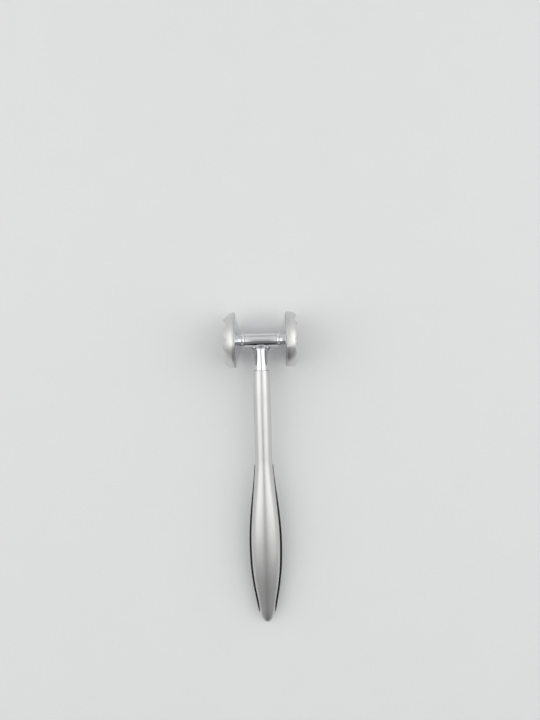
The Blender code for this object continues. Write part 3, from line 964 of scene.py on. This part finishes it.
def inlay_ring(side, along):
    """Section of an inlay: crowned outside, rounded where it meets the groove's edges, flat behind."""
    half_width, half_thickness = handle_size(along)
    half_height = max(inlay_half_height(along) - INLAY_GAP, INLAY_GAP)
    widest = math.asin(half_height / half_thickness)
    floor = half_width - GROOVE_DEPTH + INLAY_GAP
    edge = half_width * math.cos(widest) + INLAY_EDGE_PROUD
    round_size = min(INLAY_EDGE_ROUND, half_height / 2)
    inside = math.asin((half_height - round_size) / half_thickness)
    arc = []
    for at in range(INLAY_ARC_STEPS + 1):
        turn = inside * (2 * at / INLAY_ARC_STEPS - 1)
        crown = INLAY_EDGE_PROUD + (INLAY_CROWN - INLAY_EDGE_PROUD) * (1 - (turn / inside) ** 2)
        arc.append(((half_width + crown) * math.cos(turn), half_thickness * math.sin(turn)))
    upper = quarter_round(arc[-1], (edge, half_height), (edge - round_size, half_height), EDGE_STEPS)[1:]
    lower = [(x, -z) for x, z in reversed(upper)]
    points = lower + arc + upper + [(floor, half_height), (floor, -half_height)]
    return [(side * x, -along, z) for x, z in points]


def make_inlay(name, side, material):
    rings = [
        inlay_ring(side, INLAY_START + INLAY_GAP + (INLAY_END - INLAY_START - 2 * INLAY_GAP) * place)
        for place, _ in INLAY_CURVE
    ]
    return dress(lay_down(skin(rings), name), material, "black_soft_grip", name.replace("_piece", ""))


def make_pin(material):
    """Cross pin with rounded ends, each a little below the stem's surface."""
    reach = handle_size(PIN_PLACE)[0] - PIN_RECESS
    edge = PIN_EDGE_ROUND
    corner = (reach, PIN_RADIUS)
    end = quarter_round((reach, PIN_RADIUS - edge), corner, (reach - edge, PIN_RADIUS), EDGE_STEPS)
    outline = [(reach, 0), *end, *[(-x, radius) for x, radius in reversed(end)], (-reach, 0)]
    bm = lathe(outline, PIN_SIDES)
    bm.transform(Matrix.Translation((0, -PIN_PLACE, 0)))
    return dress(lay_down(bm, "neck_cross_pin_piece"), material, "plain_steel", "neck_cross_pin")


# Stage

def make_camera():
    """Camera straight above, placed and turned so that head and tail fall where the photograph has them."""
    turn = math.atan2(TAIL_AT[0] - HUB_AT[0], TAIL_AT[1] - HUB_AT[1])
    hub = LYING.translation
    scale = TABLE_SCALE * (1 - hub.z / CAMERA_HEIGHT)
    right = (PHOTO_WIDTH / 2 - HUB_AT[0]) * scale
    up = (HUB_AT[1] - PHOTO_HEIGHT / 2) * scale
    data = bpy.data.cameras.new("camera")
    data.sensor_fit = "VERTICAL"
    data.sensor_height = SENSOR_HEIGHT
    data.lens = data.sensor_height * CAMERA_HEIGHT / (TABLE_SCALE * PHOTO_HEIGHT)
    camera = bpy.data.objects.new("camera", data)
    camera.location = (
        hub.x + right * math.cos(turn) + up * math.sin(turn),
        hub.y - right * math.sin(turn) + up * math.cos(turn),
        CAMERA_HEIGHT,
    )
    camera.rotation_euler = (0, 0, -turn)
    bpy.context.scene.collection.objects.link(camera)
    bpy.context.scene.camera = camera
    return camera


def make_floor():
    material, tree, shader = new_material("pale table", 0)
    paper = noise(tree, 30, 4)
    link(tree, mix_colour(tree, paper, *TABLE_TONES), shader.inputs["Base Color"])
    shader.inputs["Roughness"].default_value = TABLE_ROUGHNESS
    bm = bmesh.new()
    bmesh.ops.create_grid(bm, x_segments=1, y_segments=1, size=TABLE_HALF_SIZE)
    floor = mesh_object("table", bm)
    floor.data.materials.append(material)


def make_softbox(name, side, aim):
    """Lamp to one side of the camera, halfway up, that draws one of the two bright lines along the handle."""
    data = bpy.data.lights.new(name, "AREA")
    data.shape = "RECTANGLE"
    data.size = SOFTBOX_HEIGHT
    data.size_y = SOFTBOX_LENGTH
    data.energy = SOFTBOX_POWER
    lamp = bpy.data.objects.new(name, data)
    lamp.location = (side * SOFTBOX_REACH, aim.y + SOFTBOX_SHIFT, SOFTBOX_LIFT)
    lamp.rotation_euler = (0, side * math.atan2(SOFTBOX_REACH, SOFTBOX_LIFT), 0)
    bpy.context.scene.collection.objects.link(lamp)


def layered_light(tree, ways, light, layers):
    """Light of one part of the room: each layer takes over where its way of looking crosses its span."""
    for way, low, high, level in layers:
        light = mix_colour(tree, ramp(tree, ways[way], low, high), light, level)
    return light


def make_world():
    """Soft white room: bright to both sides, greyer overhead and behind the head, dark past the tail."""
    world = bpy.data.worlds.new("studio")
    world.use_nodes = True
    bpy.context.scene.world = world
    tree = world.node_tree
    background = tree.nodes["Background"]
    way = tree.nodes.new("ShaderNodeSeparateXYZ")
    link(tree, tree.nodes.new("ShaderNodeTexCoord").outputs["Generated"], way.inputs[0])
    ways = {
        "head": way.outputs["Y"],
        "tail": math_node(tree, "MULTIPLY", way.outputs["Y"], -1),
        "aside": math_node(tree, "ABSOLUTE", way.outputs["X"]),
    }
    above = layered_light(tree, ways, ABOVE_LIGHT, ABOVE_LAYERS)
    past_tail = layered_light(tree, ways, TAIL_LIGHT, TAIL_LAYERS)
    middle = mix_colour(tree, ramp(tree, ways["tail"], *TAIL_FADE), above, past_tail)
    sides = layered_light(tree, ways, SIDE_LIGHT, SIDE_LAYERS)
    room = mix_colour(tree, ramp(tree, ways["aside"], *SIDE_FADE), middle, sides)
    seen = tree.nodes.new("ShaderNodeLightPath").outputs["Is Camera Ray"]
    link(tree, mix_colour(tree, seen, room, BACKDROP), background.inputs["Color"])


def main():
    make_camera()
    groups = {"wear_and_shade": edge_wear_and_shade_group(), "casting": casting_group(), "handling": handling_group()}
    satin = satin_material(groups)
    chrome = chrome_material(groups)
    steel = steel_material(groups)
    rubber = rubber_material(groups)
    tree = toothed_face_tree()

    for title, facing, disc in (("coarse", -1, COARSE), ("fine", 1, FINE)):
        make_disc(f"{title}_face_disc_piece", facing, disc, tree, satin)
        make_flare(f"{title}_side_flare_piece", facing, chrome)
    make_tee(chrome)
    make_handle(satin)
    make_inlay("left_grip_inlay_piece", -1, rubber)
    make_inlay("right_grip_inlay_piece", 1, rubber)
    make_pin(steel)
    for node in ("tie_rod", "coarse_side_lock_washer", "fine_side_lock_washer"):
        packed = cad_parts[node]
        packed.data.materials.clear()
        packed.data.materials.append(steel)

    make_floor()
    aim = LYING.translation
    make_softbox("left softbox", -1, aim)
    make_softbox("right softbox", 1, aim)
    make_world()
    bpy.context.scene.view_settings.view_transform = "Standard"


main()
